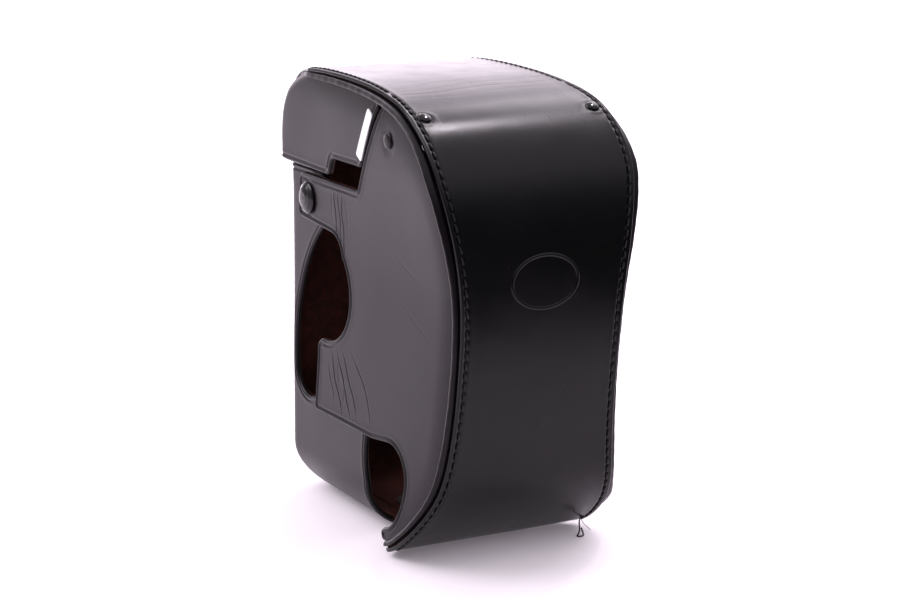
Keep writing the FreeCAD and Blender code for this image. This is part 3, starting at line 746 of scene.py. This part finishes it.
def rim_height(gap):
    """Cut edge with a pressed double border line."""
    height = -0.75 * cut_edge(gap, 0.8)
    height += 0.34 * ridge(gap, 1.15, 0.55)
    height -= 0.34 * ridge(gap, 2.55, 0.42)
    height += 0.14 * ridge(gap, 3.5, 0.6)
    return height


def border_bend(y, z, gap):
    """Bend of a side panel inwards towards its sewn border, tightest where it wraps the lid's back."""
    front = -1.5 * np.interp(z, [150, 200], [1.0, 0.35]) * np.clip(1 - gap / 13.0, 0, 1) ** 2
    return front * (1 - back_share(y)) + back_bend(y, gap)


def back_share(y):
    """Share of the tight wrap at the lid's back: none in front, whole behind."""
    return np.clip((y - 55) / 22, 0, 1)


def back_bend(y, gap):
    """Inward wrap of the side leather round the lid's back edge."""
    near = np.clip(gap, 0, 5)
    return -0.9 * (5 - np.sqrt(25 - (5 - near) ** 2)) * back_share(y)


def foot_flare(side, z, gap):
    """The right side's foot is splayed outwards a little."""
    splay = 3.0 if side > 0 else 0.0
    return splay * np.exp(-((z - 17) / 11) ** 2) * np.exp(-(gap / 16) ** 2)


def side_panel(name, word, edges, lining, creases, nodes):
    """One side panel: free edge with a border, soft bend towards the welt along the strip."""
    side = -1 if word == "left" else 1
    free, seam = edges
    top, thick, material, slot = layer(lining)
    if name not in FLAT_CUTS:
        loop = np.concatenate([free, seam[1:-1]])
        loop = loop[np.linalg.norm(loop - np.roll(loop, 1, 0), axis=1) > 0.12]
        if lining:
            FLAT_CUTS[name] = sheet_loop(loop, (0.6, 1.6, 3.2), 4.0)
        else:
            FLAT_CUTS[name] = sheet_loop(loop, RIM_ROWS, 2.2, crease_points(creases))
    flat, faces = FLAT_CUTS[name]
    y, z = flat[:, 0], flat[:, 1]
    to_seam = distance(flat, seam)
    wide = side_half(y, z) - top + foot_flare(side, z, to_seam)
    dip = border_bend(y, z, to_seam)
    rise = dip
    if not lining:
        rise = dip + rim_height(distance(flat, free)) * np.clip(to_seam / 3.0, 0, 1)
        rise += 0.35 * wave(y, z, 1.7, 0.02) * np.clip(to_seam / 12, 0, 1)
        rise += crease_height(flat, creases)
    if name == "cover_side":
        rise -= 0.38 * ridge(np.hypot(y - SIDE_RIVET[0], z - SIDE_RIVET[1]), 4.5, 0.75)
        rise -= 0.3 * ridge(np.hypot(y - SNAP_CAP[0], z - SNAP_CAP[1]), 8.4, 0.8)
    outer = np.column_stack([side * (wide + rise), y, z])
    inner = np.column_stack([side * (wide + dip - thick), y, z])
    obj = two_sided(name + "_" + word, outer, inner, faces, side > 0)
    return finish_piece(obj, material, slot, *nodes)


def seam_side(run_low, run_high, inset=PANEL_INSET):
    """Side panel's edge along the strip."""
    return profile(np.arange(run_low, run_high, 0.8), inset)[0]


# The cover side's free edge, from the lid's fold round the cut-outs to the foot, and its creases:
# line, depth and width.
COVER_FREE = [(-27, 200.5), (1.5, 159.5), (60, 159.5), (64.5, 158.5, 66.5, 154.5), (68, 143),
              (67.5, 138.8, 64, 137.6), (32, 135), (26, 131.5, 23.5, 125), (17.5, 104, 30, 86),
              (36, 83.5, 43, 82.5), (49, 81, 50.5, 75), (53, 51), (52.5, 47.5, 49, 46.5), (-6, 46.6),
              (-20, 48.4), (-42.0, 32, -27, 11.5), (-25.2, 9.8), (-25.2, 7.5), (-26, 5.2)]
COVER_CREASES = [
    ([(26.5, 158), (27.4, 151), (26.6, 144), (27.0, 138), (25.6, 132), (25.0, 128)], 0.34, 0.34),
    ([(22.5, 158), (23.4, 150), (22.2, 143), (23.0, 137), (21.4, 130)], 0.30, 0.32),
    ([(18.4, 158.5), (18.9, 152), (20.2, 146), (19.3, 139), (20.0, 132), (18.6, 124)], 0.34, 0.36),
    ([(31, 156), (30.2, 150), (30.8, 144), (29.6, 139)], 0.14, 0.35),
    ([(14.6, 157), (15.4, 150), (14.6, 143), (15.2, 137)], 0.12, 0.4),
    ([(36.8, 81), (34.0, 74), (32.2, 66), (27.6, 59), (24.0, 51), (21, 47)], 0.34, 0.40),
    ([(30.5, 83), (28.3, 76), (24.2, 69), (20.6, 60), (17.4, 54), (12.4, 48)], 0.36, 0.36),
    ([(26.3, 84), (22.0, 77), (18.4, 69), (13.0, 61), (9.6, 54), (6.2, 49)], 0.34, 0.36),
    ([(17, 84.5), (9.0, 76), (2.2, 69), (-2.4, 60), (-4.9, 53), (-8.0, 47.5)], 0.24, 0.40),
    ([(38.5, 73), (37.2, 66), (34.0, 60), (31.9, 53)], 0.22, 0.34),
    ([(24.2, 69), (22.6, 62), (23.4, 56)], 0.20, 0.30),
    ([(28.3, 76), (28.9, 69), (27.0, 63)], 0.16, 0.30),
    ([(-28, 138), (-41, 131), (-53, 127)], 0.08, 0.5), ([(-33, 116), (-47, 108), (-60, 102)], 0.08, 0.5)]
LID_FREE = [(82, 162.6), (33.5, 162.0), (31, 163.5), (28, 169), (26.5, 170.4), (0, 170.8),
            (-5.0, 171.5, -7.3, 174.2)]


def cover_edges():
    """Free edge of the cover's side, and its edge along the strip."""
    seam = seam_side(4.0, COVER_LENGTH - 1.0)
    free = outline([tuple(seam[-1])] + COVER_FREE + [tuple(seam[0])])
    return soften(free, 5), seam


def lid_edges():
    """Free edge of the lid's side, and its edge along the strip."""
    runs = np.arange(COVER_LENGTH + 3.0, STRIP_LENGTH - 0.4, 0.8)
    seam = profile(runs, lid_inset(runs))[0]
    first, last = seam[0], seam[-1]
    free = outline([tuple(last), (last[0] - 1.2, 163.1)] + LID_FREE
                   + [(first[0] - 0.9, 200.2), tuple(first)])
    return soften(free, 5), seam


def build_sides():
    """Leather and lining of the cover's and the lid's sides; the cover's pieces take in its tabs."""
    for word, side in (("left", -1), ("right", 1)):
        skin = side_panel("cover_side", word, cover_edges(), False, COVER_CREASES,
                          ["front_side_" + word, "tab_" + word])
        lining = side_panel("cover_side_suede", word, cover_edges(), True, [],
                            ["front_side_lining_" + word, "tab_lining_" + word])
        for obj in (skin, lining):
            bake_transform(obj)
        skin = side_panel("lid_side_leather", word, lid_edges(), False, [], ["lid_side_" + word])
        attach(skin, "lid")
        lining = side_panel("lid_side_suede", word, lid_edges(), True, [], ["lid_side_lining_" + word])
        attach(lining, "lid")


# ---- rear half
QUARTER = REAR_BEND * math.pi / 2
BACK_FLAT = REAR_HALF - REAR_ROUND
CORNER_RUN = REAR_ROUND * math.pi / 2


def rear_v(z):
    """Run up the wall from the flat bottom for a height."""
    z = np.asarray(z, float)
    low = REAR_BEND * np.arccos(np.clip(1 - z / REAR_BEND, -1, 1))
    return np.where(z < REAR_BEND, low, QUARTER + z - REAR_BEND)


def rear_plan(v):
    """Shrinking of the plan, corner radius and back wall at a run up the wall."""
    turn = np.clip(v / REAR_BEND, 0, math.pi / 2)
    shrink = REAR_BEND * (1 - np.sin(turn))
    radius = REAR_ROUND + 0.5 * shrink
    back = REAR_BACK - REAR_LEAN * np.maximum(v - QUARTER, 0)
    return turn, shrink, radius, back


def rear_u(y, z):
    """Run round the plan from the middle of the back for a place on a wing."""
    _, shrink, radius, back = rear_plan(rear_v(z))
    start = back - shrink - radius
    scale = (start - REAR_FRONT) / (REAR_BACK - REAR_ROUND - REAR_FRONT)
    return BACK_FLAT + CORNER_RUN + (start - np.asarray(y, float)) / scale


def rear_surface(u, v, inset):
    """Point of the rear half's wall at run u round the plan and v up from the bottom."""
    turn, shrink, radius, back = rear_plan(v)
    depth = inset * np.sin(turn)
    z = REAR_BEND - (REAR_BEND - inset) * np.cos(turn) + np.maximum(v - QUARTER, 0)
    run = np.abs(u)
    flat = REAR_HALF - shrink - radius
    start = back - shrink - radius
    angle = np.clip((run - BACK_FLAT) / CORNER_RUN, 0, 1) * math.pi / 2
    corner = radius - depth
    scale = (start - REAR_FRONT) / (REAR_BACK - REAR_ROUND - REAR_FRONT)
    x = np.where(run < BACK_FLAT, run * flat / BACK_FLAT, flat + corner * np.sin(angle))
    y = start + corner * np.cos(angle) - np.maximum(run - BACK_FLAT - CORNER_RUN, 0) * scale
    return np.stack([np.sign(u) * x, y, z], -1)


# A wing's free edge in side view, from the bottom in front round the C-shaped opening to the top.
REAR_WING = [(3.4, 2.4), (4.2, 12), (4.4, 23), (6.4, 33, 5.2, 44), (5.2, 47), (8, 50), (62, 50.4),
             (76.5, 52.5, 81.6, 62), (80.2, 85, 74.3, 103), (66, 118, 52, 133), (43, 141), (36, 150),
             (36, 157), (44, 157), (50, 161)]


def rear_loop(trim):
    """Outline of the rear wall laid flat: wings left and right of the back."""
    wing = soften(outline(REAR_WING), 5)
    u = rear_u(wing[:, 0], wing[:, 1]) - trim
    v = rear_v(wing[:, 1])
    v = np.where(wing[:, 1] > 151, v - trim, v)
    front = float(rear_u(REAR_FRONT, FOOT_RISE)) - trim
    low = float(rear_v(FOOT_RISE))
    right = np.concatenate([[(0.0, 0.0)], outline([(0.6, 0), (front, 0), (front, low), (u[0], v[0])]),
                            np.column_stack([u, v])[1:]])
    top = outline([tuple(right[-1]), (0, right[-1][1])])[1:-1]
    half = np.concatenate([right, top, [(0.0, right[-1][1])]])
    mirrored = half[1:-1][::-1] * (-1, 1)
    return np.concatenate([half, mirrored])


def build_rear():
    """Wall and bottom of the rear half, in leather and in suede."""
    for name, lining, trim, nodes in (("rear_leather", False, 0.0, ["rear_shell"]),
                                      ("rear_suede", True, LINING_TRIM, ["rear_lining"])):
        top, thick, material, slot = layer(lining)
        loop = rear_loop(trim)
        rows, spacing = ((0.6, 1.6, 3.0), 3.0) if lining else (RIM_ROWS, 2.4)
        flat, faces = sheet_loop(loop, rows, spacing)
        rise = np.zeros(len(flat))
        if not lining:
            gap = distance(flat, loop[loop[:, 1] > 0.001])
            rise = rim_height(gap) * np.clip(flat[:, 1] / 6, 0, 1)
            rise += 0.3 * wave(flat[:, 0], flat[:, 1], 5.2, 0.02) * np.clip(flat[:, 1] / 20, 0, 1)
        outer = rear_surface(flat[:, 0], flat[:, 1], top - rise)
        inner = rear_surface(flat[:, 0], flat[:, 1], top + thick)
        wall = two_sided(name + "_wall", outer, inner, faces, True)
        floor = bottom_plate(name + "_floor", top, thick, trim)
        for obj in (wall, floor):
            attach(obj, "rear_case")
            finish_piece(obj, material, slot, *nodes)


def bottom_plate(name, top, thick, trim):
    """Flat bottom of the rear half with the round hole for the screw cup."""
    reach = float(rear_u(REAR_FRONT, FOOT_RISE)) - trim
    runs = np.r_[np.arange(-reach, reach, 2.0), reach]
    edge = rear_surface(runs, np.zeros(len(runs)), 0.0)[:, :2]
    closing = np.linspace(edge[-1], edge[0], 20)[1:-1]
    edge = np.concatenate([edge, closing])
    turns = np.linspace(0, 2 * math.pi, 61)[:-1]
    circle = np.column_stack([np.cos(turns), np.sin(turns)])
    field = np.array([(x, y) for x in np.arange(-17, 18, 3.0) for y in np.arange(-22, 64, 3.0)])
    field = field[inside(field, edge) & (distance(field, edge) > 1.5)]
    field = field[np.linalg.norm(field - SCREW, axis=1) > 14]
    points = np.concatenate([edge, circle * CUP_BORE + SCREW, circle * 12.5 + SCREW, field])
    flat, faces = cut_faces(points, len(edge))
    faces = [f for f in faces if np.linalg.norm(flat[list(f)].mean(0) - SCREW) > CUP_BORE - 0.05]
    outer = np.column_stack([flat, np.full(len(flat), top)])
    inner = np.column_stack([flat, np.full(len(flat), top + thick)])
    return two_sided(name, outer, inner, faces, True)


def build_keeper():
    """Sewn strap on the back wall that the flap's tip slips under."""
    path = [(-25, 88.6), (-22.6, 88.65), (-21.2, 89.3), (-19.8, 90.4), (-18, 90.7), (0, 90.75),
            (18, 90.7), (19.8, 90.4), (21.2, 89.3), (22.6, 88.65), (25, 88.6)]
    at, total = spline(path)
    runs = np.linspace(0, total, 90)
    spots = at(runs)
    out = left_of(spots)
    heights = KEEPER_HEIGHT + KEEPER_HALF * np.r_[-1, -0.97, -0.93, -0.88, -0.8, -0.7, -0.6,
                                                  np.linspace(-0.5, 0.5, 7),
                                                  0.6, 0.7, 0.8, 0.88, 0.93, 0.97, 1]
    edge = np.minimum(KEEPER_HALF - np.abs(heights - KEEPER_HEIGHT), 3.0)[None, :]
    ends = np.minimum(runs, total - runs)[:, None]
    edge = np.minimum(edge, ends)
    rise = -0.45 * cut_edge(edge, 0.8) - 0.16 * ridge(edge, 1.7, 0.35)
    tall = heights[None, :] + 0 * ends
    outer = np.stack([*off_line(spots, out, rise), tall], -1)
    inner = np.stack([*off_line(spots, out, 0 * tall - 0.85), tall], -1)
    obj = two_sided("keeper_strap", outer, inner, grid_faces(len(runs), len(heights)), True)
    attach(obj, "rear_case")
    finish_piece(obj, EDGE_LEATHER, "black_leather", "flap_keeper")


def build_flap():
    """Closing flap with a pressed border and a round tip."""
    path = [(89.2, 163.6), (89.15, 159.5), (89.05, 155), (89, 151), (88.95, 146.2)]
    at, total = spline(path)
    runs = np.append(np.arange(0, total, 0.6), total)
    spots = at(runs)
    out = left_of(spots)
    left_over = np.clip((total - runs) / 8.5, 0, 1)
    half = FLAP_HALF - 8.5 * (1 - np.sqrt(1 - (1 - left_over) ** 2))
    share = np.linspace(-1, 1, 61)
    x = half[:, None] * share[None, :]
    edge = np.minimum(half[:, None] - np.abs(x), (total - runs)[:, None] + 0.1)
    rise = -0.3 * cut_edge(edge, 0.7) - 0.15 * ridge(edge, 2.4, 0.4)
    outer = np.stack([x, *off_line(spots, out, rise)], -1)
    inner = np.stack([x, *off_line(spots, out, 0 * x - 1.0)], -1)
    flap = two_sided("closing_flap_leather", outer, inner, grid_faces(len(runs), len(share)), False)
    finish_piece(flap, EDGE_LEATHER, "black_leather", "closing_flap")
    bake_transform(flap)


def build_loose_thread():
    """Thread ends left hanging at the foot of the right seam."""
    start = THREAD_ENDS[0][0]
    for index, line in enumerate(THREAD_ENDS):
        at, total = spline([start] + line[1:])
        radius = 0.14 if index == 2 else 0.33
        obj = tube("thread_end_%d" % (index + 1), at(np.linspace(0, total, 48)), radius)
        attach(obj, "front_cover")
        finish_piece(obj, THREAD, "thread_black")


THREAD_ENDS = [
    [(44.2, -44.4, 7.2), (42.9, -45.4, 5.0), (42.0, -47.2, 2.6), (39.8, -49.5, 0.8), (38.8, -50.6, 0.5),
     (40.6, -51.4, 0.5), (42.6, -49.6, 0.7), (42.9, -47.0, 2.9)],
    [(44.2, -44.4, 7.2), (46.2, -43.6, 6.6), (47.9, -42.4, 7.6)],
    [(44.2, -44.4, 7.2), (45.0, -45.2, 4.6), (47.0, -45.6, 2.4), (49.0, -45.4, 0.5)]]


def build_hinge_strap():
    """Inner leather strap that joins the cover's foot to the rear half's bottom."""
    ys = np.linspace(-42, -6, 49)
    share = np.linspace(-1, 1, 29)
    low_run = np.interp(-ys, [25, 35, 46], [0, 10.1, 22.5])
    cover, _ = profile(low_run, LEATHER + LINING + 0.15)
    z = np.where(ys > -25, LEATHER + LINING + 0.12, cover[:, 1])
    z = np.convolve(np.pad(z, 3, mode="edge"), np.ones(7) / 7, "valid") + 0.15
    x = STRAP_HALF * share[None, :] + 0 * ys[:, None]
    end = np.minimum(STRAP_HALF - np.abs(x), np.minimum(ys - ys[0], ys[-1] - ys)[:, None])
    rise = -0.3 * cut_edge(end, 0.8) - 0.12 * ridge(end, 2.6, 0.5)
    upper = np.stack([x, ys[:, None] + 0 * x, z[:, None] + 1.0 + rise], -1)
    lower = np.stack([x, ys[:, None] + 0 * x, z[:, None] + 0 * x], -1)
    strap = two_sided("hinge_strap", upper, lower, grid_faces(len(ys), len(share)), True)
    finish_piece(strap, EDGE_LEATHER, "black_leather")
    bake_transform(strap)


# ---- hardware kept from the CAD
def dress_cad():
    """Materials of the CAD's own rivets, studs, screw and plates, by the start of their names."""
    finishes = {
        "snap_cap": ENAMEL, "strip_rivet": ENAMEL, "side_rivet": SIDE_LEATHER, "stud": NICKEL,
        "snap_socket": NICKEL, "keeper_rivet": NICKEL, "screw_cup": NICKEL, "camera_screw": NICKEL,
        "lid_stay": PLATE}
    for name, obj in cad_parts.items():
        for start, material in finishes.items():
            if name.startswith(start):
                obj.data.materials.clear()
                obj.data.materials.append(material)


# ---- stage
def build_stage():
    """Pale floor with painted shade in front of the case, a bright backdrop far behind with painted shade
    at its left, soft lights and a dim room.
    """
    floor = stage_sheet("floor", [(-3.0, 0.0), (-0.6, 0.0), (0.6, 0.0), (1.7, 0.0)], glow=0.12)
    sweep = [(1.7, 0.0), (1.95, 0.03), (2.1, 0.14), (2.16, 0.34), (2.2, 0.7), (2.2, 2.6)]
    backdrop = stage_sheet("backdrop", sweep, glow=1.3)
    # painted shade: the floor's colour and glow darken in front of the case, so the strip reflects a dark
    # floor
    paint_shade_on_sheet(floor, "Y", -0.38, -0.205, dark=0.07)
    # painted shade: the backdrop's colour and glow darken towards the left, so less light reaches the left
    # side
    paint_shade_on_sheet(backdrop, "X", -0.9, -0.1, dark=0.22)
    area_light("overhead", (0.51, 0.18, 1.23), (-0.04, -0.055, 0.197), wide=0.07, high=0.07, power=1.4)
    area_light("left_back", (-1.2, 0.7, 1.3), (0.0, 0.1, 0.05), wide=1.3, high=1.1, power=12.5)
    area_light("right_back", (1.3, 0.7, 1.3), (0.0, 0.2, 0.05), wide=1.3, high=1.0, power=10.5)
    build_world()


def build_world():
    """Dim room that is brighter overhead and behind the case."""
    world = bpy.data.worlds.new("studio")
    bpy.context.scene.world = world
    world.use_nodes = True
    tree = world.node_tree
    backing = tree.nodes["Background"]
    backing.inputs["Color"].default_value = (0.97, 0.91, 0.98, 1)
    where = node(tree, "ShaderNodeTexCoord")
    split = node(tree, "ShaderNodeSeparateXYZ")
    tree.links.new(where.outputs["Generated"], split.inputs["Vector"])
    overhead = ramp(tree, split.outputs["Z"], 0.05, 0.75, 0.1, 1.0, "SMOOTHSTEP")
    behind = ramp(tree, split.outputs["Y"], -0.8, 0.3, 0.1, 0.75, "SMOOTHSTEP")
    brighter = node(tree, "ShaderNodeMath", operation="MAXIMUM")
    tree.links.new(overhead, brighter.inputs[0])
    tree.links.new(behind, brighter.inputs[1])
    tree.links.new(brighter.outputs["Value"], backing.inputs["Strength"])


def paint_shade_on_sheet(sheet, axis, low, high, dark):
    """Painted shade: darkens the colour and glow of a stage sheet below a place along one axis."""
    tree = sheet.data.materials[0].node_tree
    shader = tree.nodes["Principled BSDF"]
    split = texture(tree, "ShaderNodeSeparateXYZ")
    fade = ramp(tree, split.outputs[axis], low, high, kind="SMOOTHSTEP")
    for name in ("Base Color", "Emission Color"):
        pale = tuple(shader.inputs[name].default_value)[:3]
        tree.links.new(blend_colours(tree, fade, (dark, dark, dark), pale), shader.inputs[name])


def stage_sheet(name, section, glow):
    """Wide sheet that follows a side-view line (y, z) in metres."""
    columns = (-3.0, -1.0, 0.0, 1.0, 3.0)
    points = [(x, y, z) for y, z in section for x in columns]
    obj = add_mesh(name, points, grid_faces(len(section), len(columns)))
    material, _, shader = base_material(name + "_paper")
    shader.inputs["Base Color"].default_value = (0.93, 0.9, 0.93, 1)
    shader.inputs["Roughness"].default_value = 0.8
    shader.inputs["Emission Color"].default_value = (1.0, 0.91, 1.0, 1)
    shader.inputs["Emission Strength"].default_value = glow
    obj.data.materials.append(material)
    return obj


def area_light(name, at, to, wide, high, power):
    """Rectangular light at a place, aimed at another."""
    data = bpy.data.lights.new(name, "AREA")
    data.shape = "RECTANGLE"
    data.size = wide
    data.size_y = high
    data.energy = power
    data.color = (1.0, 0.93, 1.0)
    obj = add_object(name, data)
    obj.location = at
    obj.rotation_euler = (Vector(to) - Vector(at)).to_track_quat("-Z", "Y").to_euler()


def build_camera():
    """Camera in front of the left corner, a little above the lid."""
    data = bpy.data.cameras.new("camera")
    data.sensor_width = 36.0
    data.lens = 88.4
    data.clip_start = 0.05
    obj = add_object("camera", data)
    turn = math.radians(CAMERA_TURN)
    down = math.radians(CAMERA_DOWN)
    obj.rotation_euler = (math.pi / 2 - down, 0.0, -turn)
    obj.location = CAMERA_AT
    bpy.context.scene.camera = obj


build_strip()
build_stitches()
build_welts()
build_emblem()
build_sides()
build_rear()
build_keeper()
build_flap()
build_loose_thread()
build_hinge_strap()
dress_cad()
build_stage()
build_camera()
bpy.context.scene.view_settings.view_transform = "Standard"
bpy.context.scene.view_settings.look = "Medium High Contrast"
